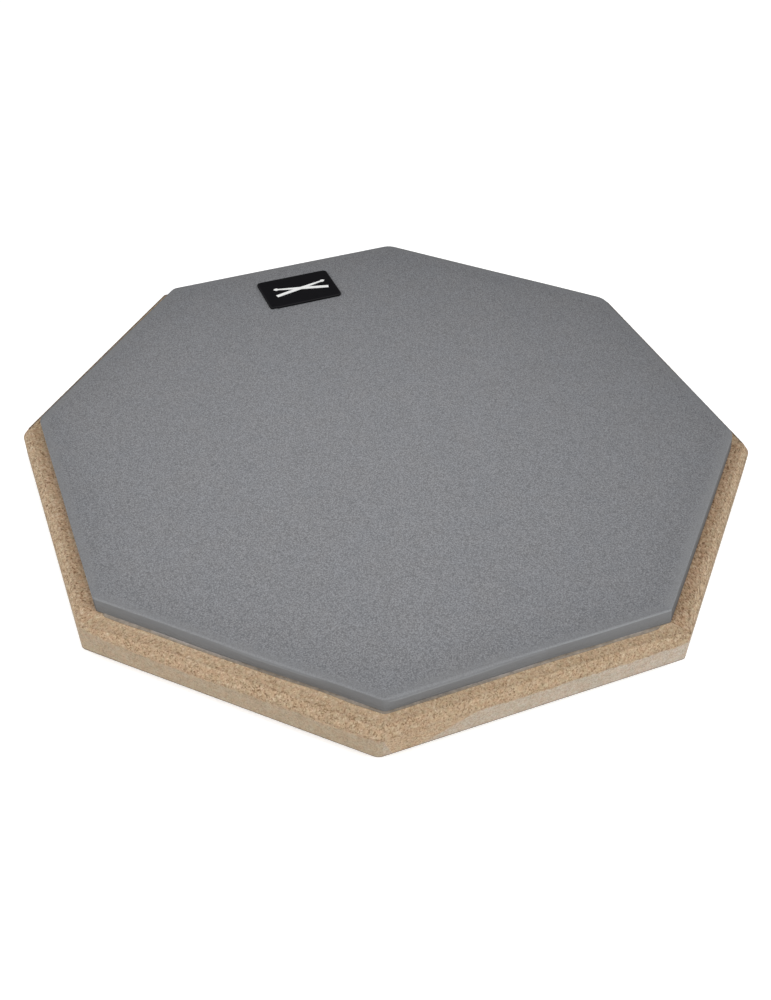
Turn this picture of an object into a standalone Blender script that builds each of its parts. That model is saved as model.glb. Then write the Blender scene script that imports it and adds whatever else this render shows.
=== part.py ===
"""Octagonal drum practice pad, 12 inches across the flats.

A fibreboard base carries a sheet of grey rubber to play on and, underneath, a sheet of
foam rubber that stops it sliding. All of it is held together with adhesive films. A small
black badge is glued near the edge of the rubber.

Frame: metres, +Z up, origin on the floor at the centre of the octagon. The flats of the
octagon face +X, +Y and the directions between them, and the badge is on the +Y side.
"""

import math

import bmesh
import bpy
from mathutils import Matrix, Vector

# ---------------------------------------------------------------- driving dimensions

SIDES = 8
ACROSS_FLATS = 0.305          # 12 inches
BOARD_THICKNESS = 0.0139
BOARD_CORNER_RADIUS = 0.005   # plan corners, eased by sanding
CHAMFER_WIDTH = 0.0031        # routed along the top edge, seen from above
CHAMFER_HEIGHT = 0.0042
BOARD_ARRIS = 0.0005          # sanded edges

RIM_WIDTH = 0.0054            # flat wood left between the chamfer and the rubber
PAD_THICKNESS = 0.0055
PAD_CORNER_RADIUS = 0.007
PAD_ARRIS = 0.0004

FILM_THICKNESS = 0.0002       # the adhesive films
FILM_INSET = 0.0002           # each film is cut a little smaller than what it holds
FILM_SHIFT = 0.0006           # the top film was laid slightly off centre
FILM_SHIFT_DIRECTION = math.radians(225)
GAP = 0.0003                  # clearance kept between one layer and the next

SHEET_THICKNESS = 0.003       # foam rubber under the board

BADGE_WIDTH = 0.038           # along the side of the octagon
BADGE_DEPTH = 0.0245
BADGE_THICKNESS = 0.0007
BADGE_CORNER_RADIUS = 0.0025
BADGE_ARRIS = 0.00015
BADGE_CENTRE_Y = 0.1192
BADGE_FILM_THICKNESS = 0.0001
TRIM_GAP = 0.0001             # clearance between the layers of the badge, which are thin

MARK_THICKNESS = 0.0002
STICK_LENGTH = 0.0285         # each of the two crossed drumsticks
STICK_BUTT_WIDTH = 0.0019
STICK_NECK_WIDTH = 0.0010
STICK_TIP_WIDTH = 0.0019
STICK_TIP_LENGTH = 0.0030
STICK_TIP_STEPS = 12
STICK_TILT = math.radians(13)
TAPER_START = 0.55            # share of the way from butt to neck where a drumstick starts to taper

LEVEL = 1e-6                  # edges that climb less than this lie level

# ------------------------------------------------------------- values that follow

STICK_NECK = STICK_LENGTH - STICK_TIP_LENGTH
STICK_TAPER_START = TAPER_START * STICK_NECK
BOARD_APOTHEM = ACROSS_FLATS / 2
PAD_APOTHEM = BOARD_APOTHEM - CHAMFER_WIDTH - RIM_WIDTH
SHEET_APOTHEM = PAD_APOTHEM

SHEET_TOP = SHEET_THICKNESS
UNDER_FILM_BOTTOM = SHEET_TOP + GAP
BOARD_BOTTOM = UNDER_FILM_BOTTOM + FILM_THICKNESS + GAP
BOARD_TOP = BOARD_BOTTOM + BOARD_THICKNESS
TOP_FILM_BOTTOM = BOARD_TOP + GAP
PAD_BOTTOM = TOP_FILM_BOTTOM + FILM_THICKNESS + GAP
PAD_TOP = PAD_BOTTOM + PAD_THICKNESS

BADGE_FILM_BOTTOM = PAD_TOP + TRIM_GAP
BADGE_BOTTOM = BADGE_FILM_BOTTOM + BADGE_FILM_THICKNESS + TRIM_GAP
MARK_BOTTOM = BADGE_BOTTOM + BADGE_THICKNESS + TRIM_GAP

FIRST_CORNER = math.pi / SIDES         # turns a flat, not a corner, towards +X
CORNER_SEGMENTS = 8
ARRIS_SEGMENTS = 2
ARRIS_LIMIT = math.radians(30)         # sharper than this is an edge to sand
SMOOTH_LIMIT = math.radians(20)        # sharper than this stays a crease


# ------------------------------------------------------------------- scene helpers

def clear_scene():
    """Remove every object that is in the file."""
    for old in list(bpy.data.objects):
        bpy.data.objects.remove(old, do_unlink=True)


def make_collection(name):
    """Make a collection and hang it in the scene."""
    collection = bpy.data.collections.new(name)
    bpy.context.scene.collection.children.link(collection)
    return collection


def make_material(name, colour, roughness, metallic=0.0):
    """Make a plain Principled material."""
    material = bpy.data.materials.new(name)
    material.use_nodes = True
    shader = material.node_tree.nodes["Principled BSDF"]
    shader.inputs["Base Color"].default_value = (*colour, 1.0)
    shader.inputs["Roughness"].default_value = roughness
    shader.inputs["Metallic"].default_value = metallic
    return material


def object_from_bmesh(bm, name, collection, material):
    """Turn a bmesh into a named, smooth shaded object."""
    bmesh.ops.recalc_face_normals(bm, faces=bm.faces)
    mesh = bpy.data.meshes.new(name)
    bm.to_mesh(mesh)
    bm.free()
    mesh.shade_smooth()
    mesh.set_sharp_from_angle(angle=SMOOTH_LIMIT)
    mesh.materials.append(material)
    made = bpy.data.objects.new(name, mesh)
    collection.objects.link(made)
    return made


# ---------------------------------------------------------------------- the shapes

def mark_upright_edges(bm):
    """Give a bevel weight to every edge that climbs, so that only those are rounded in plan."""
    weight = bm.edges.layers.float.new("bevel_weight_edge")
    for edge in bm.edges:
        climb = abs(edge.verts[0].co.z - edge.verts[1].co.z)
        edge[weight] = 1.0 if climb > LEVEL else 0.0


def round_plan_corners(made, radius, turn):
    """Round the marked edges to a radius, where the outline turns by the given angle."""
    bevel = made.modifiers.new("plan_corners", "BEVEL")
    bevel.limit_method = "WEIGHT"
    bevel.width = radius * math.tan(turn / 2)
    bevel.segments = CORNER_SEGMENTS
    bevel.use_clamp_overlap = False


def ease_arrises(made, width):
    """Take the sharpness off the remaining edges."""
    bevel = made.modifiers.new("arrises", "BEVEL")
    bevel.limit_method = "ANGLE"
    bevel.angle_limit = ARRIS_LIMIT
    bevel.width = width
    bevel.segments = ARRIS_SEGMENTS
    bevel.use_clamp_overlap = False


def octagon_bmesh(apothem, bottom, thickness):
    """Make an upright eight-sided prism that starts at the given height."""
    bm = bmesh.new()
    corner_distance = apothem / math.cos(math.pi / SIDES)
    placed = Matrix.Translation((0, 0, bottom + thickness / 2)) @ Matrix.Rotation(FIRST_CORNER, 4, "Z")
    bmesh.ops.create_cone(
        bm,
        cap_ends=True,
        segments=SIDES,
        radius1=corner_distance,
        radius2=corner_distance,
        depth=thickness,
        matrix=placed,
    )
    return bm


def box_bmesh(width, depth, bottom, thickness):
    """Make a box centred on the badge's place that starts at the given height."""
    bm = bmesh.new()
    placed = Matrix.Translation((0, BADGE_CENTRE_Y, bottom + thickness / 2))
    placed = placed @ Matrix.Diagonal((width, depth, thickness, 1))
    bmesh.ops.create_cube(bm, size=1.0, matrix=placed)
    return bm


def octagon_sheet(name, collection, material, apothem, bottom, thickness, arris=0.0):
    """Make a flat octagonal sheet with rounded corners."""
    bm = octagon_bmesh(apothem, bottom, thickness)
    mark_upright_edges(bm)
    sheet = object_from_bmesh(bm, name, collection, material)
    round_plan_corners(sheet, PAD_CORNER_RADIUS, 2 * math.pi / SIDES)
    if arris:
        ease_arrises(sheet, arris)
    return sheet


def rounded_plate(name, collection, material, inset, bottom, thickness, arris=0.0):
    """Make a thin plate with the badge's outline, drawn in by the given inset."""
    bm = box_bmesh(BADGE_WIDTH - 2 * inset, BADGE_DEPTH - 2 * inset, bottom, thickness)
    mark_upright_edges(bm)
    plate = object_from_bmesh(bm, name, collection, material)
    round_plan_corners(plate, BADGE_CORNER_RADIUS - inset, math.pi / 2)
    if arris:
        ease_arrises(plate, arris)
    return plate


# ------------------------------------------------------------------ the sub-parts

def build_base_board(collection):
    """Make the fibreboard: an upright edge, then a chamfer up to the flat top."""
    material = make_material("fibreboard", (0.44, 0.32, 0.21), 0.85)
    bm = octagon_bmesh(BOARD_APOTHEM, BOARD_BOTTOM, BOARD_THICKNESS - CHAMFER_HEIGHT)
    top_face = max(bm.faces, key=lambda face: face.calc_center_median().z)
    extruded = bmesh.ops.extrude_face_region(bm, geom=[top_face])["geom"]
    top_corners = [item for item in extruded if isinstance(item, bmesh.types.BMVert)]
    bmesh.ops.delete(bm, geom=[top_face], context="FACES_ONLY")
    shrink = (BOARD_APOTHEM - CHAMFER_WIDTH) / BOARD_APOTHEM
    bmesh.ops.scale(bm, vec=Vector((shrink, shrink, 1)), verts=top_corners)
    bmesh.ops.translate(bm, vec=Vector((0, 0, CHAMFER_HEIGHT)), verts=top_corners)
    mark_upright_edges(bm)
    board = object_from_bmesh(bm, "base_board", collection, material)
    round_plan_corners(board, BOARD_CORNER_RADIUS, 2 * math.pi / SIDES)
    ease_arrises(board, BOARD_ARRIS)


def build_playing_pad(collection):
    """Make the rubber sheet that is struck."""
    material = make_material("grey_rubber", (0.23, 0.235, 0.25), 0.75)
    octagon_sheet("playing_pad", collection, material, PAD_APOTHEM, PAD_BOTTOM, PAD_THICKNESS, PAD_ARRIS)


def build_non_slip_sheet(collection):
    """Make the foam rubber sheet that the whole pad stands on."""
    material = make_material("foam_rubber", (0.02, 0.02, 0.022), 0.9)
    octagon_sheet("non_slip_sheet", collection, material, SHEET_APOTHEM, 0.0, SHEET_THICKNESS, PAD_ARRIS)


def build_adhesive_films(collection):
    """Make the films above and below the board, and the one under the badge."""
    material = make_material("adhesive", (0.62, 0.58, 0.50), 0.6)
    film_apothem = PAD_APOTHEM - FILM_INSET
    top_film = octagon_sheet(
        "pad_adhesive", collection, material, film_apothem, TOP_FILM_BOTTOM, FILM_THICKNESS
    )
    top_film.location.x = FILM_SHIFT * math.cos(FILM_SHIFT_DIRECTION)
    top_film.location.y = FILM_SHIFT * math.sin(FILM_SHIFT_DIRECTION)
    octagon_sheet(
        "underside_adhesive", collection, material, film_apothem, UNDER_FILM_BOTTOM, FILM_THICKNESS
    )
    rounded_plate(
        "badge_adhesive", collection, material, FILM_INSET, BADGE_FILM_BOTTOM, BADGE_FILM_THICKNESS
    )


def build_badge(collection):
    """Make the black plate near the +Y side."""
    material = make_material("black_badge", (0.012, 0.012, 0.013), 0.45)
    rounded_plate("badge", collection, material, 0.0, BADGE_BOTTOM, BADGE_THICKNESS, BADGE_ARRIS)


def stick_half_width(along):
    """Half the width of a drumstick at a distance from its butt."""
    if along <= STICK_TAPER_START:
        return STICK_BUTT_WIDTH / 2
    if along <= STICK_NECK:
        share = (along - STICK_TAPER_START) / (STICK_NECK - STICK_TAPER_START)
        return STICK_BUTT_WIDTH / 2 + share * (STICK_NECK_WIDTH - STICK_BUTT_WIDTH) / 2
    angle = math.pi * (along - STICK_NECK) / STICK_TIP_LENGTH
    swell = math.sin(angle) * STICK_TIP_WIDTH / 2
    return max(swell, STICK_NECK_WIDTH / 2 * math.cos(angle / 2))


def stick_outline():
    """Points round a drumstick that lies along X and is centred on the origin."""
    stations = [0.0, STICK_TAPER_START]
    stations += [STICK_NECK + STICK_TIP_LENGTH * step / STICK_TIP_STEPS for step in range(STICK_TIP_STEPS)]
    upper = [(x - STICK_LENGTH / 2, stick_half_width(x)) for x in stations]
    lower = [(x, -y) for x, y in reversed(upper)]
    return upper + [(STICK_LENGTH / 2, 0.0)] + lower


def drumstick(name, collection, material, tilt):
    """Make one flat drumstick on top of the badge."""
    bm = bmesh.new()
    corners = [bm.verts.new((x, y, 0)) for x, y in stick_outline()]
    face = bm.faces.new(corners)
    raised = bmesh.ops.extrude_face_region(bm, geom=[face])["geom"]
    top_verts = [item for item in raised if isinstance(item, bmesh.types.BMVert)]
    bmesh.ops.translate(bm, vec=Vector((0, 0, MARK_THICKNESS)), verts=top_verts)
    placed = Matrix.Translation((0, BADGE_CENTRE_Y, MARK_BOTTOM)) @ Matrix.Rotation(tilt, 4, "Z")
    bmesh.ops.transform(bm, matrix=placed, verts=bm.verts)
    return object_from_bmesh(bm, name, collection, material)


def build_badge_mark(collection, cutters):
    """Make the badge's plain mark: two crossed drumsticks in one piece."""
    material = make_material("white_print", (0.85, 0.85, 0.85), 0.5)
    mark = drumstick("badge_mark", collection, material, STICK_TILT)
    other = drumstick("second_stick", cutters, material, math.pi - STICK_TILT)
    other.hide_render = True
    other.display_type = "WIRE"
    join = mark.modifiers.new("crossed", "BOOLEAN")
    join.operation = "UNION"
    join.object = other


def main():
    clear_scene()
    parts = make_collection("practice_pad")
    cutters = make_collection("cutters")
    build_base_board(parts)
    build_playing_pad(parts)
    build_non_slip_sheet(parts)
    build_adhesive_films(parts)
    build_badge(parts)
    build_badge_mark(parts, cutters)


main()
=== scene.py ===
"""Looks of the octagonal practice pad: fibreboard, rubber, glue, badge and foam sheet.

The layers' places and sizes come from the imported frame, and the finish of their edges from the
values named below. Each layer is lofted from rings that follow the octagon, so that its edges
can be eased, chipped and bowed a little, as cut sheets are.
"""

import math

import bpy
import numpy as np
from mathutils import Matrix, Vector, noise


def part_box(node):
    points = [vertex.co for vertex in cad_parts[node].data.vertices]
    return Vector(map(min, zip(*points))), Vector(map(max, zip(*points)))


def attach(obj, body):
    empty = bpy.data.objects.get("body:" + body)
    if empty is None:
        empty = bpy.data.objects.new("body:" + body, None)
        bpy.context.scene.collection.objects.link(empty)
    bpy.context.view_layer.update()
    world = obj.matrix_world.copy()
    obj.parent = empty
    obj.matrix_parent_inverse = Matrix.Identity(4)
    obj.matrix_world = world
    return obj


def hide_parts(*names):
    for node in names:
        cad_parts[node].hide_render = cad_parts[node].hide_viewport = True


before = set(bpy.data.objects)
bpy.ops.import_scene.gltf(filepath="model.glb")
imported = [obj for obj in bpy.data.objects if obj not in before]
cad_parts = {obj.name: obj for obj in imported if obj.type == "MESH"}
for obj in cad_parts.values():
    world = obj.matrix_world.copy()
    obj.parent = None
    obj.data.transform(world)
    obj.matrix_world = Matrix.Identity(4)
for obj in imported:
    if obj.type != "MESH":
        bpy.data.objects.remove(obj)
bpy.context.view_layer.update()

MM = 0.001
SIDES = 8
TURN = 2 * math.pi / SIDES

# The sides, counterclockwise from the one that faces +X, named as the camera sees them.
# A corner goes by the name of the side that it follows.
BACK_RIGHT, FAR_RIGHT, FAR_LEFT, BACK_LEFT, LEFT, FRONT_LEFT, FRONT_RIGHT, RIGHT = range(SIDES)
BACK_SIDES = (BACK_RIGHT, FAR_RIGHT, FAR_LEFT, BACK_LEFT)
END_SIDES = (LEFT, RIGHT)

# Places of the layers, from the frame
board_low, board_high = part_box("base_board")
_, pad_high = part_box("playing_pad")
_, film_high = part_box("pad_adhesive")
under_film_low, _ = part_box("underside_adhesive")
sheet_low, sheet_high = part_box("non_slip_sheet")
badge_low, badge_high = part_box("badge")
mark_low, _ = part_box("badge_mark")

board_apothem = board_high.x
pad_apothem = pad_high.x
sheet_apothem = sheet_high.x

SMALLEST_RADIUS = 0.6 * MM            # of a ring's corners, however far inside the outline it lies

# Shape of the board's edge, as in the CAD
CHAMFER_WIDTH = 3.1 * MM
CHAMFER_HEIGHT = 4.2 * MM
SHOULDER = board_high.z - CHAMFER_HEIGHT

# Finish of the board's edge
BOARD_EASE = 0.4 * MM
OUTER_RIM = 1.9 * MM                  # width of the outer part of the flat rim, whose tone is set apart from the rest of the rim
CHIP_CELL = 0.58 * MM                 # a step of the grid that the chips are laid on
TALLEST_CHIP = 0.03 * MM

# The rubber, the glue that it stands on in places, and how far in from its edge the rings on top lie
RUBBER_FOOT = board_high.z + 0.06 * MM
GLUE_TOP = film_high.z + 0.1 * MM
RUBBER_EASE = 0.4 * MM
TOP_INSETS = np.array([1.0, 1.6, 2.3, 3.1, 4.0, 5.0, 6.2, 7.6]) * MM

# Points along a side of each octagon, and round one of its corners
BOARD_STEPS = (210, 9)
SHEET_STEPS = (60, 7)
GLUE_STEPS = (120, 7)

# The corners were eased by hand. Their radii are in the order of the sides that they follow.
BOARD_CORNER_RADII = [mm * MM for mm in (5, 5, 5, 6, 3.5, 5, 2, 5.5)]
PAD_CORNER_RADII = [mm * MM for mm in (9, 8, 5, 7, 1.5, 2, 1.5, 9)]
SHEET_CORNER_RADIUS = 8 * MM

# Corners where the chamfer runs out: the share of it left at the corner, and how far back it fades
CHAMFER_RUN_OUTS = {LEFT: (0.0, 11 * MM), FRONT_RIGHT: (0.05, 5 * MM)}

# How far outside the true octagon the two ends of a side were cut, in mm
BOARD_CUT = {
    BACK_RIGHT: (-0.4, -0.1),
    BACK_LEFT: (2.2, 0.9),
    LEFT: (0.2, 0.1),
    FRONT_LEFT: (0.4, 1.0),
    FRONT_RIGHT: (0.2, 0.2),
    RIGHT: (0.5, 0.1),
}
PAD_FOOT_CUT = {
    BACK_RIGHT: (-0.3, -0.3),
    FAR_RIGHT: (-1.4, 0.7),
    FAR_LEFT: (1.1, 0.2),
    BACK_LEFT: (1.1, 0.6),
    LEFT: (0.1, 0.4),
    FRONT_LEFT: (-0.1, -0.4),
    FRONT_RIGHT: (0.35, 0.25),
    RIGHT: (0.5, 1.0),
}
PAD_TOP_CUT = {
    **PAD_FOOT_CUT,
    LEFT: (0.4, 0.7),
    FRONT_LEFT: (-0.88, -0.95),
    FRONT_RIGHT: (-0.5, -0.7),
    RIGHT: (-0.4, 0.3),
}

# Where the knife wandered on a side: the middle of each bow as a share of the side, its spread, and mm
PAD_FOOT_BOWS = {
    FRONT_LEFT: ((0.40, 0.15, 0.55), (0.74, 0.09, -0.3)),
    FRONT_RIGHT: ((0.54, 0.10, -0.45),),
}
PAD_TOP_BOWS = {FRONT_LEFT: ((0.47, 0.20, 0.45),), FRONT_RIGHT: ((0.40, 0.15, -0.42),)}

# The top edge of the rubber is worn to a bevel on part of two sides: where the bevel starts, is full,
# starts to fade and has gone, as shares of the side, and how much of its full size it reaches
WORN_BEVELS = {FRONT_LEFT: (0.38, 0.52, 0.66, 0.76, 0.65), FRONT_RIGHT: (0.0, 0.02, 0.27, 0.56, 1.0)}
BEVEL_WIDTH = 0.7 * MM
BEVEL_DEPTH = 1.0 * MM
BEVEL_FOOT = pad_high.z - BEVEL_DEPTH

# Glue was squeezed out from the left corner, round the front one and nearly to the right one
SQUEEZED_OUT = 0.8 * MM
GLUE_END = 0.93                       # share of the front right side where it ends
GLUE_FADE = 0.03                      # share of a side over which it comes or goes

# Where more of it was squeezed out, given as the bows are
GLUE_BOWS = {
    FRONT_LEFT: ((0.09, 0.10, 0.55), (0.28, 0.08, 0.15), (0.62, 0.10, 0.35), (0.86, 0.06, 0.3)),
    FRONT_RIGHT: ((0.57, 0.12, 0.35), (0.85, 0.06, 0.4)),
}

# Where it stands pale below the rubber, as shares of the side, and how thickly
PALE_GLUE = {
    FRONT_LEFT: ((0.02, 0.18, 0.35), (0.19, 0.51, 1.0), (0.81, 0.91, 0.5)),
    FRONT_RIGHT: ((0.065, 0.50, 1.0), (0.76, 0.87, 0.6)),
}


# ---------------------------------------------------------------- rings and lofts

def cut_lines(apothem, cut):
    """The direction each side faces and its distance from the centre, given how it was cut."""
    half_side = apothem * math.tan(TURN / 2)
    lines = []
    for side in range(SIDES):
        start, end = (mm * MM for mm in cut.get(side, (0, 0)))
        lines.append((side * TURN - (end - start) / (2 * half_side), apothem + (start + end) / 2))
    return lines


def towards(angle):
    """The unit vector that points that way, seen from above."""
    return np.array([math.cos(angle), math.sin(angle)])


def octagon(lines, inset, radii, along_side, round_corner):
    """Points and outward directions round an octagon with rounded corners, as two arrays.

    Octagons made with the same two counts have matching points, so they loft.
    """
    radii = [max(radius - inset, SMALLEST_RADIUS) for radius in radii]
    centres = []
    for corner in range(SIDES):
        angle, reach = lines[corner]
        next_angle, next_reach = lines[(corner + 1) % SIDES]
        back = inset + radii[corner]
        normals = [towards(angle), towards(next_angle)]
        centres.append(np.linalg.solve(normals, [reach - back, next_reach - back]))
    points = []
    outward = []
    for side in range(SIDES):
        angle = lines[side][0]
        next_angle = lines[(side + 1) % SIDES][0] + (2 * math.pi if side == SIDES - 1 else 0)
        start = centres[side - 1] + towards(angle) * radii[side - 1]
        end = centres[side] + towards(angle) * radii[side]
        for step in range(along_side):
            points.append(start + (end - start) * step / along_side)
            outward.append(towards(angle))
        for step in range(round_corner):
            direction = towards(angle + (next_angle - angle) * step / round_corner)
            points.append(centres[side] + direction * radii[side])
            outward.append(direction)
    return np.array(points), np.array(outward)


def along_sides(along_side, round_corner):
    """For each point of such an octagon, the side it belongs to and its share of the way along it."""
    step = np.arange(SIDES * (along_side + round_corner))
    side, place = np.divmod(step, along_side + round_corner)
    return side, place / (along_side + round_corner)


def by_side(side, values, elsewhere=0.0):
    """For each point, the value given for the side it belongs to, or the one for elsewhere."""
    found = np.full(len(side), elsewhere)
    for named_side, value in values.items():
        found = np.where(side == named_side, value, found)
    return found


def bowed(side, share, bows):
    """How far each point lies outside its straight side, given the bows of the sides."""
    out = np.zeros(len(side))
    for bent_side, side_bows in bows.items():
        for middle, spread, height in side_bows:
            bump = np.exp(-(((share - middle) / spread) ** 2)) * height * MM
            out += np.where(side == bent_side, bump, 0.0)
    return out


def worn_away(side, share):
    """How much of the bevel there is, from 0 to 1, point by point."""
    worn = np.zeros(len(side))
    for worn_side, (start, full, fading, gone, most) in WORN_BEVELS.items():
        rise = np.clip((share - start) / (full - start), 0, 1)
        fall = np.clip((gone - share) / (gone - fading), 0, 1)
        worn += np.where(side == worn_side, most * np.minimum(rise, fall), 0.0)
    return worn


def mesh_from_rings(name, rings, material, attributes=None):
    """Loft equal rings from the first to the last, and close both ends with a fan."""
    rings = np.array(rings)
    rows, columns = rings.shape[:2]
    first_centre = rings[0].mean(axis=0)
    last_centre = rings[-1].mean(axis=0)
    vertices = np.vstack([rings.reshape(-1, 3), first_centre, last_centre])
    here = np.arange(columns)
    following = (here + 1) % columns
    faces = []
    for row in range(rows - 1):
        low = row * columns
        high = low + columns
        strip = np.stack([low + here, low + following, high + following, high + here], axis=1)
        faces.extend(strip.tolist())
    first = rows * columns
    last_row = (rows - 1) * columns
    faces.extend(np.stack([following, here, np.full(columns, first)], axis=1).tolist())
    last_fan = np.stack([last_row + here, last_row + following, np.full(columns, first + 1)], axis=1)
    faces.extend(last_fan.tolist())
    mesh = bpy.data.meshes.new(name)
    mesh.from_pydata(vertices.tolist(), [], faces)
    for key, values in (attributes or {}).items():
        layer = mesh.attributes.new(key, "FLOAT", "POINT")
        padded = np.concatenate([np.asarray(values, float).ravel(), [0.0, 0.0]])
        layer.data.foreach_set("value", padded.astype(np.float32))
    mesh.materials.append(material)
    mesh.shade_smooth()
    mesh.validate()
    piece = bpy.data.objects.new(name, mesh)
    bpy.context.scene.collection.objects.link(piece)
    return piece


def stretch(start, end, spacing):
    """Stations from start up to, but not including, end, about the spacing apart."""
    start = np.array(start, float)
    end = np.array(end, float)
    count = max(1, round(float(np.linalg.norm(end - start)) / spacing))
    return [start + (end - start) * step / count for step in range(count)]


def profile_normals(profile):
    """Unit normals of a profile of (inset, height) stations that runs out, up and in."""
    inset, height = profile[:, 0], profile[:, 1]
    outward_step = -np.gradient(inset)
    up_step = np.gradient(height)
    length = np.hypot(outward_step, up_step)
    return up_step / length, -outward_step / length


def soften(values, passes):
    """Average each value with its neighbours, leaving the ends where they are."""
    values = values.copy()
    for _ in range(passes):
        values[1:-1] = (values[:-2] + 2 * values[1:-1] + values[2:]) / 4
    return values


def wander(points, size, seed):
    """Smooth noise from -1 to 1 at each point, with features of about the given size."""
    shift = Vector((seed * 17.3, seed * 5.1, seed * 9.7))
    return np.array([noise.noise(Vector(point) / size + shift) for point in points])


# ------------------------------------------------------------------ wood chips

def lay_flake(tone, relief, centre, size, angle, new_tone, new_relief):
    """Lay one oval flake over what is there. Its centre and half sizes are in cells of the grid."""
    rows, columns = tone.shape
    row, column = centre
    half_length, half_width = size
    reach = max(half_length, half_width) + 1
    row_numbers = np.arange(max(0, int(row - reach)), min(rows, int(row + reach) + 2))
    column_numbers = np.arange(int(column - reach), int(column + reach) + 2)
    if len(row_numbers) == 0:
        return
    across = (row_numbers - row)[:, None]
    along = (column_numbers - column)[None, :]
    lengthwise = (along * math.cos(angle) + across * math.sin(angle)) / half_length
    sideways = (across * math.cos(angle) - along * math.sin(angle)) / half_width
    cover = np.clip(1.5 * (1.2 - lengthwise**2 - sideways**2), 0, 1)
    cells = np.ix_(row_numbers, column_numbers % columns)
    tone[cells] += (new_tone - tone[cells]) * cover
    relief[cells] += (new_relief - relief[cells]) * cover


def wood_chips(columns, cell, coarse):
    """Tone (0 dark, 1 pale) and relief (-1 to 1) of pressed chips on a grid round the board.

    coarse says for each row how coarse its chips are: 0 on the sawn edge, 1 on the chamfer.
    """
    random = np.random.default_rng(12)
    rows = len(coarse)
    tone = np.full((rows, columns), 0.5)
    relief = np.zeros((rows, columns))
    flake_area = 0.35 * MM**2
    for _ in range(int(rows * columns * cell**2 / flake_area)):
        row = random.uniform(0, rows)
        column = random.uniform(0, columns)
        strength = coarse[int(row)]
        half_length = random.uniform(0.25, 0.6) * MM / cell
        half_width = random.uniform(0.18, 0.34) * MM / cell
        angle = random.uniform(0, math.pi)
        new_tone = 0.5 + random.normal(0, 0.17) * (0.3 + 0.7 * strength)
        new_relief = random.normal(0, 0.4)
        kind = random.uniform()
        if kind < 0.1 * strength:
            new_tone = random.uniform(0.08, 0.30)
            new_relief = -1.0
        elif kind > 1 - 0.09 * strength:
            new_tone = random.uniform(0.78, 1.0)
            new_relief = 0.6
        lay_flake(tone, relief, (row, column), (half_length, half_width), angle, new_tone, new_relief)
    return tone, relief


# ---------------------------------------------------------------------- materials

class Shader:
    """One Principled material, put together node by node."""

    def __init__(self, name):
        self.material = bpy.data.materials.new(name)
        self.material.use_nodes = True
        self.tree = self.material.node_tree
        self.surface = self.tree.nodes["Principled BSDF"]
        self.place = self.tree.nodes.new("ShaderNodeTexCoord").outputs["Object"]

    def node(self, kind, inputs=None, **settings):
        """A new node. Each input is a value, or another node's socket to link."""
        made = self.tree.nodes.new(kind)
        for key, value in settings.items():
            setattr(made, key, value)
        for key, value in (inputs or {}).items():
            if isinstance(value, bpy.types.NodeSocket):
                self.tree.links.new(value, made.inputs[key])
            else:
                made.inputs[key].default_value = value
        return made

    def noise(self, scale, detail=2.0, roughness=0.5, vector=None):
        """Smooth noise round 0.5; scale is in features per metre."""
        settings = {"Scale": scale, "Detail": detail, "Roughness": roughness, "Vector": vector or self.place}
        return self.node("ShaderNodeTexNoise", settings).outputs["Fac"]

    def stretched(self, scale):
        """The object's coordinates, multiplied by a factor along each axis."""
        inputs = {"Vector": self.place, "Scale": scale}
        return self.node("ShaderNodeMapping", inputs).outputs["Vector"]

    def cells(self, scale, output="Distance"):
        """Cells scattered at random; scale is in cells per metre."""
        inputs = {"Scale": scale, "Vector": self.place}
        return self.node("ShaderNodeTexVoronoi", inputs).outputs[output]

    def attribute(self, name):
        """A value that the mesh holds at each of its points."""
        return self.node("ShaderNodeAttribute", attribute_name=name).outputs["Fac"]

    def fade(self, value, start, end):
        """1 where the value is at the start, 0 where it has reached the end."""
        inputs = {"Value": value, "From Min": start, "From Max": end, "To Min": 1.0, "To Max": 0.0}
        return self.node("ShaderNodeMapRange", inputs).outputs["Result"]

    def tinted(self, colour, tint, share):
        """Multiply a colour by a tint, as far as the share says."""
        return self.mix(share, colour, self.mix(1.0, colour, tint, blend="MULTIPLY"))

    def math(self, operation, first, second=0.0, third=0.0):
        """One step of arithmetic. Only MULTIPLY_ADD takes the third value."""
        inputs = {0: first, 1: second, 2: third}
        return self.node("ShaderNodeMath", inputs, operation=operation).outputs[0]

    def around(self, value, swing, middle):
        """Turn noise round 0.5 into a value round the middle, plus or minus half the swing."""
        return self.math("MULTIPLY_ADD", value, swing, middle - swing / 2)

    def ramp(self, value, *stops):
        """Map a value to colours given as (position, (r, g, b)) stops."""
        made = self.node("ShaderNodeValToRGB", {"Fac": value})
        elements = made.color_ramp.elements
        while len(elements) < len(stops):
            elements.new(0.5)
        for element, (position, colour) in zip(elements, stops):
            element.position = position
            element.color = (*colour, 1.0)
        return made.outputs["Color"]

    def mix(self, share, first, second, blend="MIX"):
        """Mix two colours."""
        made = self.node("ShaderNodeMix", {"Factor": share}, data_type="RGBA", blend_type=blend)
        for socket, value in (("A", first), ("B", second)):
            target = next(s for s in made.inputs if s.name == socket and s.type == "RGBA")
            if isinstance(value, bpy.types.NodeSocket):
                self.tree.links.new(value, target)
            else:
                target.default_value = (*value, 1.0)
        return next(s for s in made.outputs if s.type == "RGBA")

    def bump(self, height, distance, strength=1.0, under=None):
        """Bump from a height, on top of an earlier bump if one is given."""
        inputs = {"Height": height, "Distance": distance, "Strength": strength}
        if under is not None:
            inputs["Normal"] = under
        return self.node("ShaderNodeBump", inputs).outputs["Normal"]

    def finish(self, **sockets):
        """Link or set the surface's own sockets; an underscore stands for a space."""
        for key, value in sockets.items():
            socket = self.surface.inputs[key.replace("_", " ")]
            if isinstance(value, bpy.types.NodeSocket):
                self.tree.links.new(value, socket)
            else:
                socket.default_value = value
        return self.material


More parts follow.
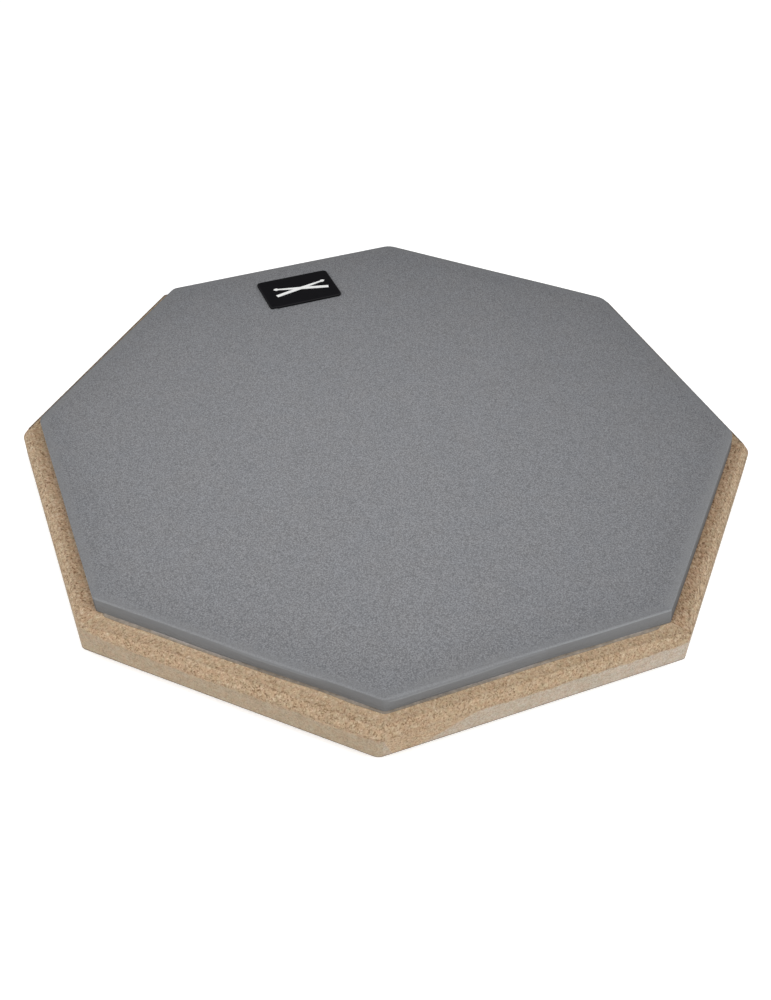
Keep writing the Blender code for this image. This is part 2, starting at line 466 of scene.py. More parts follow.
def fibreboard_material():
    """Pressed wood chips: coarse where the edge was routed, close and greyer where it was sawn."""
    shader = Shader("fibreboard")
    coarse = shader.attribute("coarse")
    grit = shader.noise(2300, detail=2.0, roughness=0.6)
    flecks = shader.cells(1900, output="Color")
    fleck_share = shader.math("MULTIPLY_ADD", coarse, 0.22, 0.44)
    tone = shader.around(shader.attribute("tone"), 0.7, 0.5)
    tone = shader.math("MULTIPLY_ADD", shader.around(flecks, 1.0, 0.0), fleck_share, tone)
    tone = shader.math("ADD", tone, shader.around(grit, 0.55, 0.0))
    chips = shader.ramp(
        tone,
        (0.08, (0.150, 0.095, 0.051)),
        (0.34, (0.300, 0.218, 0.134)),
        (0.52, (0.392, 0.297, 0.192)),
        (0.74, (0.455, 0.355, 0.240)),
        (0.96, (0.560, 0.466, 0.335)),
    )
    sawn = shader.ramp(
        shader.math("MULTIPLY_ADD", tone, 1.5, shader.around(shader.noise(190, detail=3.0), 0.5, -0.25)),
        (0.1, (0.235, 0.181, 0.117)),
        (0.5, (0.335, 0.273, 0.189)),
        (0.9, (0.402, 0.342, 0.249)),
    )
    colour = shader.mix(shader.fade(coarse, 0.5, 0.05), sawn, chips)
    colour = shader.tinted(colour, (1.23, 1.33, 1.56), shader.attribute("pale"))
    colour = shader.tinted(colour, (0.955, 0.885, 0.855), shader.attribute("warm"))
    blotch = shader.noise(45, detail=3.0)
    colour = shader.tinted(colour, (0.93, 0.955, 0.93), shader.around(blotch, 1.6, 0.5))
    ruddy = shader.around(shader.noise(450, detail=2.0), 3.6, 0.5)
    colour = shader.tinted(colour, (1.03, 0.955, 0.91), ruddy)
    rosy = shader.around(shader.noise(700, detail=2.0), 4.5, 0.5)
    colour = shader.tinted(colour, (1.015, 0.965, 1.0), rosy)
    # Dark grime from handling, mostly painted shade: dark lines along the board's edges and foot.
    colour = shader.tinted(colour, (0.15, 0.14, 0.135), shader.attribute("dirt_and_shade"))
    return shader.finish(
        Base_Color=colour,
        Roughness=shader.around(grit, 0.3, 0.84),
        Specular_IOR_Level=0.25,
        Normal=shader.bump(grit, 0.00016, strength=0.6),
    )


def rubber_material():
    """Matte grey rubber with a fine stippled grain that runs out towards the cut edge."""
    shader = Shader("grey_rubber")
    inset = shader.attribute("inset")
    worn_smooth_and_lit = shader.fade(inset, 2.0, 5.0)
    stipple = shader.cells(1700)
    grain = shader.noise(1900, detail=2.0, roughness=0.65)
    pores = shader.math("MULTIPLY_ADD", stipple, -0.5, grain)
    # Near the edge the grain is worn smooth, and the colour is made a little paler as painted light on the
    # drooping edge.
    pores = shader.math("ADD", pores, shader.math("MULTIPLY", worn_smooth_and_lit, 0.05))
    colour = shader.ramp(
        pores,
        (0.06, (0.128, 0.130, 0.137)),
        (0.27, (0.186, 0.189, 0.199)),
        (0.48, (0.253, 0.257, 0.270)),
    )
    colour = shader.mix(shader.math("MULTIPLY", worn_smooth_and_lit, 0.55), colour, (0.180, 0.183, 0.189))
    cloud = shader.around(shader.noise(20, detail=3.0), 1.4, 0.5)
    colour = shader.tinted(colour, (0.955, 0.962, 0.97), cloud)
    warmth = shader.around(shader.noise(60, detail=6.0, roughness=0.8), 4.0, 0.5)
    colour = shader.tinted(colour, (1.012, 0.997, 0.980), warmth)
    # Painted shade: the top is darkened towards its edge, from 20 mm in, as light falls off away from the
    # middle.
    colour = shader.tinted(colour, (0.94, 0.94, 0.94), shader.fade(inset, 5.0, 20.0))
    cut_face = shader.mix(
        shader.around(shader.noise(350, detail=3.0, vector=shader.stretched((0.3, 0.3, 3.0))), 1.4, 0.5),
        (0.157, 0.160, 0.164),
        (0.183, 0.185, 0.188),
    )
    colour = shader.mix(shader.attribute("cut"), colour, cut_face)
    # Painted light: highlights along edges, and shade lifted near the foot.
    colour = shader.mix(shader.attribute("painted_light"), colour, (0.29, 0.295, 0.30))
    # Painted shade: the back arris and the cut faces of the two end sides darkened.
    colour = shader.mix(shader.attribute("painted_shade"), colour, (0.085, 0.085, 0.085))
    skin = shader.bump(grain, 0.00020, strength=0.45)
    return shader.finish(
        Base_Color=colour,
        Roughness=shader.around(grain, 0.3, 0.78),
        Specular_IOR_Level=0.3,
        Normal=shader.bump(stipple, 0.00014, strength=0.45, under=skin),
    )


def glue_material():
    """Waxy film of dried glue: brown where it lies thin on the wood, pale where it stands thick."""
    shader = Shader("glue")
    streaks = shader.noise(330, detail=4.0, roughness=0.75)
    thin = shader.ramp(
        streaks,
        (0.3, (0.13, 0.105, 0.08)),
        (0.5, (0.21, 0.172, 0.132)),
        (0.75, (0.31, 0.26, 0.205)),
    )
    thick = shader.ramp(
        streaks,
        (0.3, (0.20, 0.18, 0.165)),
        (0.5, (0.32, 0.29, 0.268)),
        (0.75, (0.44, 0.40, 0.375)),
    )
    colour = shader.mix(shader.attribute("pale"), thin, thick)
    return shader.finish(
        Base_Color=colour,
        Roughness=shader.around(streaks, 0.3, 0.5),
        Normal=shader.bump(streaks, 0.0001, strength=0.5),
    )


def foam_material():
    """Black closed-cell foam with a pebbled skin."""
    shader = Shader("foam_rubber")
    pebbles = shader.cells(900)
    dust = shader.noise(300, detail=4.0, roughness=0.7)
    colour = shader.mix(
        shader.around(dust, 1.3, 0.5),
        (0.014, 0.014, 0.015),
        (0.034, 0.034, 0.036),
    )
    return shader.finish(
        Base_Color=colour,
        Roughness=shader.around(dust, 0.2, 0.85),
        Specular_IOR_Level=0.35,
        Normal=shader.bump(pebbles, 0.0003, strength=0.6),
    )


def badge_material():
    """Deep black plastic with faint scuffs and a slightly paler worn edge."""
    shader = Shader("black_badge")
    mottle = shader.noise(420, detail=4.0, roughness=0.7)
    colour = shader.ramp(
        mottle,
        (0.3, (0.0035, 0.0035, 0.0045)),
        (0.8, (0.0065, 0.006, 0.0075)),
    )
    worn = shader.mix(shader.attribute("worn"), colour, (0.02, 0.02, 0.021))
    return shader.finish(
        Base_Color=worn,
        Roughness=shader.around(mottle, 0.3, 0.6),
        Specular_IOR_Level=0.04,
        Normal=shader.bump(mottle, 0.00006, strength=0.4),
    )


def print_material():
    """Opaque white print, a little thinner in places."""
    shader = Shader("white_print")
    cover = shader.noise(1500, detail=3.0, roughness=0.6)
    colour = shader.ramp(
        cover,
        (0.25, (0.62, 0.62, 0.62)),
        (0.45, (0.80, 0.80, 0.79)),
        (0.7, (0.86, 0.86, 0.85)),
    )
    return shader.finish(
        Base_Color=colour,
        Roughness=shader.around(cover, 0.2, 0.5),
        Normal=shader.bump(cover, 0.00004, strength=0.4),
    )


# ------------------------------------------------------------------------- pieces

def register(piece, node):
    """Put a new piece under the root body, and hide the CAD part that it takes the place of."""
    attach(piece, "root")
    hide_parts(node)


def board_profile():
    """Stations (inset, height) from under the foam sheet, round the edge, to under the rubber."""
    ease = BOARD_EASE
    top = board_high.z
    corners = [
        (14 * MM, board_low.z, 1.4 * MM),
        (ease, board_low.z, 0.4 * MM),
        (0.0, board_low.z + ease, 0.65 * MM),
        (0.0, SHOULDER - ease, 0.4 * MM),
        (0.6 * ease, SHOULDER + 0.8 * ease, 0.5 * MM),
        (CHAMFER_WIDTH - 0.6 * ease, top - 0.8 * ease, 0.4 * MM),
        (CHAMFER_WIDTH + ease, top, 0.55 * MM),
        (CHAMFER_WIDTH + 8.5 * MM, top, 1.0 * MM),
    ]
    stations = []
    for (inset, height, spacing), (next_inset, next_height, _) in zip(corners, corners[1:]):
        stations += stretch((inset, height), (next_inset, next_height), spacing)
    stations.append(np.array(corners[-1][:2]))
    return np.array(stations)


def chamfer_left(side, share, side_length):
    """How much of the chamfer is left, from 0 to 1, point by point."""
    left = np.ones(len(side))
    for corner, (at_corner, fade) in CHAMFER_RUN_OUTS.items():
        before = np.where(side == corner, 1 - share, np.inf)
        after = np.where(side == (corner + 1) % SIDES, share, np.inf)
        away = np.minimum(before, after) * side_length
        left = np.minimum(left, 1 - (1 - at_corner) * np.exp(-away / fade))
    return left


def board_faces(inset, height):
    """Which stations lie on the chamfer, on the flat rim, and on the outer part of that rim."""
    on_chamfer = (height > SHOULDER) & (inset < CHAMFER_WIDTH)
    on_rim = (height > SHOULDER) & ~on_chamfer
    outer_rim = on_rim & (inset < CHAMFER_WIDTH + OUTER_RIM)
    return on_chamfer, on_rim, outer_rim


def board_rings(inset, height, coarse, relief, side, share):
    """The board's rings, roughened by the chips and filled out where the chamfer runs out."""
    on_chamfer, on_rim, _ = board_faces(inset, height)
    depth = (0.02 + 0.06 * coarse) * MM
    smooth_inside = 2 * MM
    on_show = np.clip((inset[-1] - inset) / smooth_inside, 0, 1)
    out_share, up_share = profile_normals(np.column_stack([inset, height]))
    lines = cut_lines(board_apothem, BOARD_CUT)
    missing = 1 - chamfer_left(side, share, 2 * board_apothem * math.tan(TURN / 2))
    across_rim = (inset - CHAMFER_WIDTH) / (inset[-1] - CHAMFER_WIDTH)
    outward_room = np.where(on_rim, CHAMFER_WIDTH * (1 - across_rim), inset * on_chamfer)
    up_edge = np.clip((height - board_low.z) / (SHOULDER - board_low.z), 0, 1)
    upward_room = np.where(height > SHOULDER, board_high.z - height, CHAMFER_HEIGHT * up_edge)
    rings = []
    for row in range(len(inset)):
        points, outward = octagon(lines, inset[row], BOARD_CORNER_RADII, *BOARD_STEPS)
        lift = np.minimum(relief[row] * depth[row] * on_show[row], TALLEST_CHIP)
        flat = points + outward * (lift * out_share[row] + missing * outward_room[row])[:, None]
        rings.append(np.column_stack([flat, height[row] + lift * up_share[row] + missing * upward_room[row]]))
    return rings


def board_tone(tone, inset, height, side):
    """The tone of the chips: how much they differ, and how pale they are, changes from side to side. Next to
    the rubber's foot the rim is made paler, as painted light against the shade of the rubber's edge.
    """
    on_chamfer, on_rim, outer_rim = board_faces(inset, height)
    lightened_near_pad_starts = board_apothem - pad_apothem - 2.4 * MM
    lightened_near_pad_fades = 1.8 * MM
    dark_contrast = by_side(side, {FRONT_LEFT: 1.1, FRONT_RIGHT: 0.7}, elsewhere=2.4)
    pale_contrast = np.where(np.isin(side, END_SIDES), 5.2, dark_contrast)
    tone = 0.5 + (tone - 0.5) * np.where(tone < 0.5, dark_contrast, pale_contrast)
    lightened_near_pad = np.clip((inset - lightened_near_pad_starts) / lightened_near_pad_fades, 0, 1) * on_rim
    tone += np.outer(outer_rim, by_side(side, {LEFT: 0.2, RIGHT: 0.04}))
    # Painted light: the rim is made paler next to the rubber's foot, against the shade that the rubber casts
    # there.
    tone += np.outer(lightened_near_pad, by_side(side, {LEFT: 0.35, FRONT_LEFT: 0.2, FRONT_RIGHT: 0.2}))
    tone += np.outer(on_chamfer, by_side(side, {LEFT: 0.03}))
    return np.clip(tone, 0, 1)


def board_dirt_and_shade(inset, height, side, share):
    """Grime from handling and painted shade: dark lines along the edges of the chamfer and the foot of the
    board, darkest along the rim's edge on the four back sides.
    """
    on_chamfer, on_rim, _ = board_faces(inset, height)
    touched = 0.45 * MM
    at_shoulder = np.abs(height - SHOULDER) < 0.35 * MM
    low_chamfer = (height > SHOULDER) & (height < SHOULDER + 1.1 * MM) & on_chamfer
    at_rim_edge = (np.abs(inset - CHAMFER_WIDTH) < touched) & on_rim
    at_foot = (height < board_low.z + touched) & (inset < MM)
    dirt_and_shade = np.zeros((len(inset), len(side)))
    # Along the shoulder: a dark line, partly grime and partly painted shade in the crease between sawn edge
    # and chamfer.
    dirt_and_shade[at_shoulder] = by_side(side, {FRONT_LEFT: 0.02 + 0.18 * share}, elsewhere=0.1)
    # On the right side the shoulder and the low chamfer are darker still, as painted shade.
    dirt_and_shade[at_shoulder | low_chamfer] += by_side(side, {RIGHT: 0.16})
    # Along the rim's edge: painted shade, heavy on the four back sides where it draws a dark outline, weaker
    # elsewhere.
    dirt_and_shade[at_rim_edge] = np.where(np.isin(side, BACK_SIDES), 0.9, 0.15)
    # Along the foot: painted shade under the board's bottom edge.
    dirt_and_shade[at_foot] = 0.9
    return dirt_and_shade


def coarse_seen(rings, coarse, height, side, share):
    """How coarse the wood looks at each point.

    The coarse chips run a little way down the sawn edge, and on the front right side they cover
    it next to the front corner.
    """
    covered_from = 0.04
    covered_to = 0.28
    fade = 0.20
    least = 0.35 * MM
    on_edge = 0.85
    edge_height = SHOULDER - board_low.z
    along_shoulder = rings[int(np.argmin(np.abs(height - SHOULDER)))]
    broad = wander(along_shoulder, 7 * MM, seed=41) * 0.5 * MM
    ragged = broad + wander(along_shoulder, 1.8 * MM, seed=42) * 0.35 * MM
    run_down = np.maximum((covered_to - share) / fade, 0) * np.clip(share / covered_from, 0, 1)
    run_down = np.where(side == FRONT_RIGHT, run_down, 0.0) * edge_height
    blur = (0.5 + 1.5 * run_down / edge_height) * MM
    above = (height[:, None] - (SHOULDER - least - ragged - run_down)[None, :]) / blur[None, :]
    with_edge = np.maximum(coarse[:, None], np.clip(0.5 + above, 0, 1) * on_edge)
    return np.where(height[:, None] > SHOULDER, coarse[:, None], with_edge)


def make_board():
    """The fibreboard, with chips standing out of its routed and sawn faces."""
    inset, height = board_profile().T
    on_chamfer, on_rim, outer_rim = board_faces(inset, height)
    coarse = soften(1.0 * on_chamfer + 0.7 * on_rim, 2)
    side, share = along_sides(*BOARD_STEPS)
    tone, relief = wood_chips(len(side), CHIP_CELL, coarse)
    rings = board_rings(inset, height, coarse, relief, side, share)
    shown = coarse_seen(rings, coarse, height, side, share)
    paling = by_side(side, {FRONT_RIGHT: 0.5 + 0.4 * share, RIGHT: 1 - share})
    warming = by_side(side, {RIGHT: 0.85 + 0.3 * share, LEFT: 0.65})
    warm_outside = by_side(side, {LEFT: 0.35, RIGHT: 0.35})
    attributes = {
        "tone": board_tone(tone, inset, height, side),
        "coarse": shown,
        "dirt_and_shade": board_dirt_and_shade(inset, height, side, share),
        "pale": (1 - np.clip(2 * shown, 0, 1)) * paling[None, :],
        "warm": np.outer(on_rim & ~outer_rim, warming) + np.outer(outer_rim, warm_outside),
    }
    board = mesh_from_rings("board_wood", rings, fibreboard_material(), attributes)
    register(board, "base_board")


def glue_shows(side, share):
    """How far, from 0 to 1, the rubber stands off the board on its glue, point by point."""
    comes_over = 0.012
    goes_over = 0.03
    shown = np.zeros(len(side))
    for glued_side, stretches in PALE_GLUE.items():
        for start, end, most in stretches:
            rise = np.clip((share - start) / comes_over, 0, 1) * np.clip((end - share) / goes_over, 0, 1)
            shown = np.maximum(shown, np.where(side == glued_side, most * rise, 0))
    return shown


def rubber_stations():
    """Stations (inset, height) from below the rubber, up its cut side and onto its top."""
    top = pad_high.z
    eased = top - RUBBER_EASE
    stations = [(12 * MM, film_high.z), (1.4 * MM, film_high.z), (0.2 * MM, RUBBER_FOOT)]
    stations += stretch((0.0, RUBBER_FOOT + 0.15 * MM), (0.0, BEVEL_FOOT), 0.6 * MM)
    stations += stretch((0.0, BEVEL_FOOT), (0.0, eased), 0.2 * MM) + [(0.0, eased)]
    for angle in np.linspace(math.pi / 8, math.pi / 2, 4):
        stations.append((RUBBER_EASE * (1 - math.cos(angle)), top - RUBBER_EASE * (1 - math.sin(angle))))
    return stations + [(inset, top) for inset in TOP_INSETS]


def rubber_edge(stations, side, share, worn):
    """A ring for each station. The cut leans from the foot's outline to the top's."""
    top = pad_high.z
    bow_fades = 9 * MM
    sway_fades = 6 * MM
    foot_lines = cut_lines(pad_apothem, PAD_FOOT_CUT)
    top_lines = cut_lines(pad_apothem, PAD_TOP_CUT)
    foot_bow = bowed(side, share, PAD_FOOT_BOWS)
    top_bow = bowed(side, share, PAD_TOP_BOWS)
    stand_off = glue_shows(side, share) * (GLUE_TOP - RUBBER_FOOT)
    rings = []
    for inset, height in stations:
        lean = min(1.0, max(0.0, (height - RUBBER_FOOT) / (top - RUBBER_FOOT)))
        low, outward = octagon(foot_lines, inset, PAD_CORNER_RADII, *SHEET_STEPS)
        high, _ = octagon(top_lines, inset, PAD_CORNER_RADII, *SHEET_STEPS)
        bow = foot_bow * (1 - lean) + top_bow * lean * max(0.0, 1 - inset / bow_fades)
        swell = min((height - RUBBER_FOOT) / (BEVEL_FOOT - RUBBER_FOOT), (top - height) / BEVEL_DEPTH)
        flat = low * (1 - lean) + high * lean
        flat += outward * bow[:, None]
        flat += outward * (worn * BEVEL_WIDTH * max(0.0, swell))[:, None]
        ring = np.column_stack([flat, height + stand_off * (1 - lean)])
        sway = (wander(ring, 34 * MM, seed=3) - 0.6) * 0.16 * MM * max(0.0, 1 - inset / sway_fades)
        ring[:, :2] += outward * sway[:, None]
        rings.append(ring)
    return rings


def shape_top(rings, insets, heights, first_top_ring):
    """Let the top edge droop, carry the cut side with it, and swell the face a little."""
    droop = 0.14 * MM
    soft_edge = 4.5 * MM
    full_swell = 6 * MM
    for row in range(first_top_ring, len(rings)):
        sag = droop * max(0.0, 1 - insets[row] / soft_edge) ** 2
        swell = (wander(rings[row], 45 * MM, seed=8) - 1) * 0.04 * MM * min(1.0, insets[row] / full_swell)
        rings[row] = rings[row] + np.column_stack([np.zeros((len(swell), 2)), swell - sag])
    for row in range(2, first_top_ring):
        height_share = max(0.0, (heights[row] - RUBBER_FOOT) / (pad_high.z - RUBBER_FOOT))
        rings[row] = rings[row] - [0, 0, droop * height_share]


def rubber_marks(insets, heights, side, share, worn):
    """Where the rubber is cut, and where light and shade are painted on it: painted highlights and painted
    light along its edges, painted shade on the back arris and on the cut of the two end sides.
    """
    top = pad_high.z
    margin_width = 6 * MM
    foot_height = 1.2 * MM
    upright = insets < 0.3 * RUBBER_EASE
    on_cut = upright & (heights < top - 0.7 * RUBBER_EASE) | (heights < RUBBER_FOOT + 0.1 * MM)
    on_arris = (heights > top - 0.75 * RUBBER_EASE) & (insets < RUBBER_EASE + 0.05 * MM)
    on_bevel = on_cut & (heights > BEVEL_FOOT)
    at_bevel_foot = upright & (np.abs(heights - BEVEL_FOOT) < 0.05 * MM)
    on_top = heights > top - 0.5 * RUBBER_EASE
    margin = np.clip(1 - (insets - RUBBER_EASE) / margin_width, 0, 1) * on_top
    near_foot = np.clip(1 - (heights - RUBBER_FOOT) / foot_height, 0, 1) * on_cut
    # Painted highlight along the top arris of the two front sides.
    arris_highlight = {
        FRONT_LEFT: 0.26 - 0.1 * share,
        FRONT_RIGHT: 0.2 + 0.25 * np.clip((share - 0.4) / 0.2, 0, 1),
    }
    # Painted shade: the top arris darkened on the four back sides, where it draws a dark outline.
    arris_painted_shade = {BACK_RIGHT: 0.6, FAR_RIGHT: 0.6, FAR_LEFT: 0.6, BACK_LEFT: 0.35}
    return {
        "inset": np.repeat(insets[:, None] / MM, len(side), axis=1),
        "cut": on_cut[:, None] * (1 - np.outer(on_bevel, 0.5 * worn)),
        # Painted light: highlights on the arris and the bevel's foot, a paler margin on the right side, and
        # paler cut just above the foot on the front sides, against the shade there.
        "painted_light": np.outer(on_arris, by_side(side, arris_highlight))
        + np.outer(at_bevel_foot, 0.35 * worn)
        + np.outer(margin, by_side(side, {RIGHT: 0.2}))
        + np.outer(near_foot, by_side(side, {FRONT_LEFT: 0.35, FRONT_RIGHT: 0.35})),
        # Painted shade on the back arris, and on the cut faces of the two end sides where a dark line runs
        # along the rubber's edge.
        "painted_shade": np.outer(on_arris, by_side(side, arris_painted_shade))
        + np.outer(on_cut, by_side(side, {LEFT: 0.7, RIGHT: 0.7})),
    }


def make_rubber():
    """The playing pad: a cut sheet whose top edge is eased and whose cut is not quite upright."""
    side, share = along_sides(*SHEET_STEPS)
    worn = worn_away(side, share)
    stations = rubber_stations()
    rings = rubber_edge(stations, side, share, worn)
    insets = [inset for inset, _ in stations]
    heights = [height for _, height in stations]
    border = rings[-1]
    middle = border.mean(axis=0)
    inner_rings = 54
    innermost = 0.97
    for step in range(1, inner_rings + 1):
        shrink = 1 - innermost * step / inner_rings
        rings.append(middle + (border - middle) * shrink)
        insets.append(TOP_INSETS[-1] + (1 - shrink) * pad_apothem)
        heights.append(pad_high.z)
    insets = np.array(insets)
    heights = np.array(heights)
    shape_top(rings, insets, heights, len(stations) - len(TOP_INSETS) - 1)
    marks = rubber_marks(insets, heights, side, share, worn)
    rubber = mesh_from_rings("pad_rubber", rings, rubber_material(), marks)
    register(rubber, "playing_pad")


def make_foam_sheet():
    """The non-slip sheet underneath, with soft edges and a faintly uneven cut."""
    radii = [SHEET_CORNER_RADIUS] * SIDES
    lines = cut_lines(sheet_apothem, {})
    top = under_film_low.z
    bottom = sheet_low.z
    ease = 0.4 * MM
    sway_fades = 8 * MM
    stations = [(inset * MM, bottom) for inset in (130, 100, 70, 45, 25, 12, 5, 2, 1)]
    for angle in np.linspace(0, math.pi / 2, 4):
        stations.append((ease * (1 - math.sin(angle)), bottom + ease * (1 - math.cos(angle))))
    for angle in np.linspace(0, math.pi / 2, 4):
        stations.append((ease * (1 - math.cos(angle)), top - ease * (1 - math.sin(angle))))
    stations += [(inset * MM, top) for inset in (1, 3, 8, 14)]
    rings = []
    for inset, height in stations:
        points, outward = octagon(lines, inset, radii, *SHEET_STEPS)
        ring = np.column_stack([points, np.full(len(points), height)])
        sway = (wander(ring, 20 * MM, seed=21) - 0.8) * 0.25 * MM * max(0.0, 1 - inset / sway_fades)
        ring[:, :2] += outward * sway[:, None]
        rings.append(ring)
    foam = mesh_from_rings("foam_sheet", rings, foam_material())
    register(foam, "non_slip_sheet")


def glue_film(name, node, material, bottom, top, reach, pale):
    """A film that thins out to a wandering edge.

    reach says, point by point, how far it goes past the rubber's foot.
    """
    lines = cut_lines(pad_apothem, PAD_FOOT_CUT)
    points, outward = octagon(lines, 0.0, PAD_CORNER_RADII, *GLUE_STEPS)
    flat = np.column_stack([points, np.zeros(len(points))])
    reach = reach + wander(flat, 9 * MM, seed=31) * 0.10 * MM + wander(flat, 2.5 * MM, seed=32) * 0.05 * MM
    # Each ring's distance from the edge in mm, and its height as a share of the film's thickness
    underneath = [(4, 0), (0.3, 0), (0.05, 0), (0, 0.1)]
    thin_edge = [(0.12, 0.3), (0.3, 0.45), (0.5, 0.6)]
    thick = [(1.0, 0.9), (4, 1)]
    rings = []
    pale_rows = []
    for inset, rise in underneath + thin_edge + thick:
        ring = flat.copy()
        ring[:, :2] += outward * (reach - inset * MM)[:, None]
        ring[:, 2] = bottom + (top - bottom) * rise
        rings.append(ring)
        pale_rows.append(pale * ((inset, rise) in thick))
    film = mesh_from_rings(name, rings, material, {"pale": np.array(pale_rows)})
    register(film, node)


def make_glue(material):
    """The film under the rubber, squeezed out along the front, and the one below the board."""
    side, share = along_sides(*GLUE_STEPS)
    hidden = -1.7 * MM
    hidden_below = -0.9 * MM
    comes = np.clip(share / GLUE_FADE, 0, 1)
    goes = np.clip((GLUE_END - share) / GLUE_FADE, 0, 1)
    out = by_side(side, {FRONT_LEFT: comes, FRONT_RIGHT: goes})
    bows = bowed(side, share, PAD_FOOT_BOWS) + bowed(side, share, GLUE_BOWS)
    reach = hidden + out * (SQUEEZED_OUT - hidden + bows)
    bottom = board_high.z + 0.04 * MM
    glue_film("pad_glue", "pad_adhesive", material, bottom, GLUE_TOP, reach, glue_shows(side, share))
    below = np.full(len(side), hidden_below)
    unseen = np.zeros(len(side))
    top = board_low.z
    glue_film("underside_glue", "underside_adhesive", material, under_film_low.z, top, below, unseen)


def badge_outline(inset, along_side, round_corner, radius):
    """Points and outward directions round the badge, which was stuck on slightly askew."""
    shift = np.array([-1.1, 0.0]) * MM
    spread = np.array([0.08, 0.25]) * MM
    turn = math.radians(0.4)
    centre = np.array([(badge_low.x + badge_high.x) / 2, (badge_low.y + badge_high.y) / 2]) + shift
    half = np.array([badge_high.x - badge_low.x, badge_high.y - badge_low.y]) / 2 + spread - inset
    radius = max(radius - inset, 0.4 * MM)
    points = []
    outward = []
    for side in range(4):
        angle = turn + side * math.pi / 2
        reach, half_length = (half[0], half[1]) if side % 2 == 0 else (half[1], half[0])
        normal = towards(angle)
        along = towards(angle + math.pi / 2)
        straight = half_length - radius
        for step in range(along_side):
            points.append(centre + normal * reach + along * straight * (2 * step / along_side - 1))
            outward.append(normal)
        corner = centre + normal * (reach - radius) + along * straight
        for step in range(round_corner):
            direction = towards(angle + math.pi / 2 * step / round_corner)
            points.append(corner + direction * radius)
            outward.append(direction)
    return np.array(points), np.array(outward)


def make_badge():
    """The black badge, thin and soft, with a nick at the corner towards -X and the centre."""
    ease = 0.25 * MM
    bottom = pad_high.z + 0.08 * MM
    top = mark_low.z
    stations = [
        (3 * MM, bottom, 0.0),
        (0.1 * MM, bottom, 0.0),
        (0.0, bottom + 0.1 * MM, 0.2),
        (0.0, top - ease, 0.3),
        (0.3 * ease, top - 0.3 * ease, 0.8),
        (ease, top, 0.5),
        (0.6 * MM, top, 0.1),
        (1.2 * MM, top, 0.0),
        (2.4 * MM, top, 0.0),
        (5 * MM, top, 0.0),
        (9 * MM, top, 0.0),
    ]
    nick = np.array([badge_low.x + 1.2 * MM, badge_low.y - 0.3 * MM])
    nick_size = 0.8 * MM
    rings = []
    wear = []
    for inset, height, share in stations:
        points, outward = badge_outline(inset, 40, 8, 2.1 * MM)
        dent = np.exp(-((points - nick) ** 2).sum(axis=1) / nick_size**2) * nick_size
        points = points - outward * dent[:, None]
        rings.append(np.column_stack([points, np.full(len(points), height)]))
        wear.append(np.full(len(points), share))
    badge = mesh_from_rings("badge_plate", rings, badge_material(), {"worn": np.array(wear)})
    register(badge, "badge")


def make_badge_glue(material):
    """The film under the badge, well inside its edge."""
    bottom = pad_high.z - 0.02 * MM
    top = pad_high.z + 0.07 * MM
    stations = [
        (4 * MM, bottom),
        (1.3 * MM, bottom),
        (1.2 * MM, pad_high.z + 0.02 * MM),
        (1.3 * MM, top),
        (4 * MM, top),
    ]
    rings = []
    for inset, height in stations:
        points, outward = badge_outline(inset, 30, 6, 3 * MM)
        flat = np.column_stack([points, np.full(len(points), height)])
        flat[:, :2] += outward * (wander(flat, 3 * MM, seed=5) * 0.12 * MM)[:, None]
        rings.append(flat)
    film = mesh_from_rings("badge_glue", rings, material)
    register(film, "badge_adhesive")


def finish_mark():
    """The CAD's crossed drumsticks keep their shape and get eased edges and their print."""
    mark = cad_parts["badge_mark"]
    mark.data.materials.clear()
    mark.data.materials.append(print_material())
    ease = mark.modifiers.new("eased_edges", "BEVEL")
    ease.width = 0.05 * MM
    ease.segments = 2
    ease.limit_method = "ANGLE"
    ease.angle_limit = math.radians(60)


# ------------------------------------------------------------------ stage and camera

def floor_material():
    """A white table that is lit from inside, as for product photographs."""
    shader = Shader("lit_table")
    return shader.finish(
        Base_Color=(0.93, 0.93, 0.93, 1.0),
        Roughness=0.9,
        Specular_IOR_Level=0.0,
        Emission_Color=(1.0, 1.0, 1.0, 1.0),
        Emission_Strength=0.45,
    )


def make_floor():
    """A plain white floor under the foam sheet."""
    half = 3.0
    height = sheet_low.z - 0.05 * MM
    corners = [(-half, -half, height), (half, -half, height), (half, half, height), (-half, half, height)]
    mesh = bpy.data.meshes.new("floor")
    mesh.from_pydata(corners, [], [(0, 1, 2, 3)])
    mesh.materials.append(floor_material())
    floor = bpy.data.objects.new("floor", mesh)
    bpy.context.scene.collection.objects.link(floor)


def aim(lamp, target):
    """Turn a lamp to the target."""
    lamp.rotation_euler = (Vector(target) - lamp.location).to_track_quat("-Z", "Y").to_euler()


def soft_box(name, azimuth, elevation, power, colour):
    """A large square lamp a metre from the pad. Azimuth 0 is +X."""
    distance = 1.0
    data = bpy.data.lights.new(name, "AREA")
    data.size = 0.45
    data.energy = power
    data.color = colour
    lamp = bpy.data.objects.new(name, data)
    azimuth, elevation = math.radians(azimuth), math.radians(elevation)
    level = math.cos(elevation) * distance
    lamp.location = (math.cos(azimuth) * level, math.sin(azimuth) * level, math.sin(elevation) * distance)
    bpy.context.scene.collection.objects.link(lamp)
    aim(lamp, (0, 0, 0))


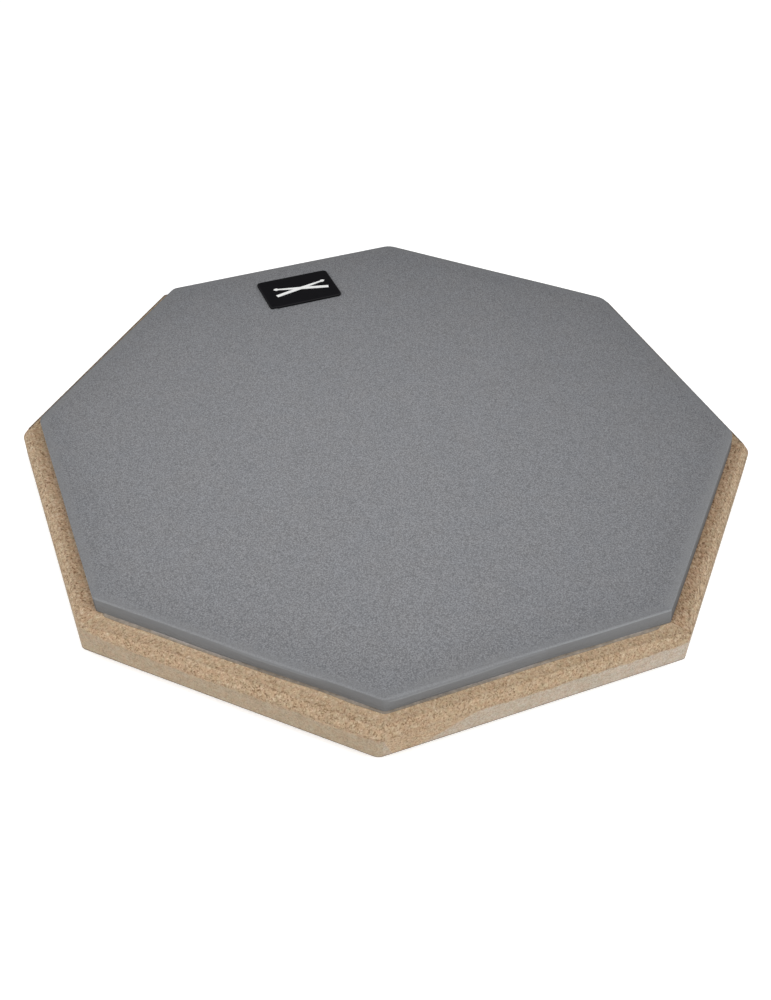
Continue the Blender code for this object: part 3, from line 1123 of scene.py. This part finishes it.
def make_light(aim_point):
    """An even white surround, a soft box on each side, and an overhead spot that fades outwards."""
    world = bpy.data.worlds.new("studio")
    world.use_nodes = True
    background = world.node_tree.nodes["Background"]
    background.inputs["Color"].default_value = (1.0, 1.0, 1.0, 1.0)
    background.inputs["Strength"].default_value = 0.48
    bpy.context.scene.world = world
    soft_box("left_box", 195, 40, 3.25, (1.0, 1.0, 1.0))
    soft_box("right_box", -60, 40, 4.0, (0.97, 0.985, 1.0))
    data = bpy.data.lights.new("overhead", "SPOT")
    data.energy = 5.0
    data.spot_size = math.radians(40)
    data.spot_blend = 1.0
    data.shadow_soft_size = 0.06
    spot = bpy.data.objects.new("overhead", data)
    lit_point = aim_point + Vector((-0.02, 0.01, 0))
    spot.location = lit_point + Vector((0, 0, 0.6))
    bpy.context.scene.collection.objects.link(spot)
    aim(spot, lit_point)


def make_camera():
    """The camera looks down on the corner between the two front sides. Returns the point it looks at."""
    azimuth = math.radians(-22.6)
    elevation = math.radians(42.29)
    roll = math.radians(1.14)
    distance = 0.5337
    past_centre = 0.0277
    towards_corner = Vector((math.sin(azimuth), -math.cos(azimuth), 0))
    aim_point = towards_corner * past_centre + Vector((0, 0, board_low.z))
    back = towards_corner * math.cos(elevation) + Vector((0, 0, math.sin(elevation)))
    level_right = (-back).cross(Vector((0, 0, 1))).normalized()
    level_up = level_right.cross(-back)
    right = level_right * math.cos(roll) + level_up * math.sin(roll)
    up = level_up * math.cos(roll) - level_right * math.sin(roll)
    data = bpy.data.cameras.new("camera")
    data.lens = 43.33
    data.sensor_width = 36
    data.clip_start = 0.01
    camera = bpy.data.objects.new("camera", data)
    camera.matrix_world = Matrix.Translation(aim_point + back * distance) @ Matrix(
        ((right.x, up.x, back.x), (right.y, up.y, back.y), (right.z, up.z, back.z))
    ).to_4x4()
    bpy.context.scene.collection.objects.link(camera)
    bpy.context.scene.camera = camera
    return aim_point


def main():
    bpy.context.scene.view_settings.view_transform = "Standard"
    make_light(make_camera())
    make_floor()
    make_board()
    make_rubber()
    glue = glue_material()
    make_glue(glue)
    make_foam_sheet()
    make_badge_glue(glue)
    make_badge()
    finish_mark()


main()
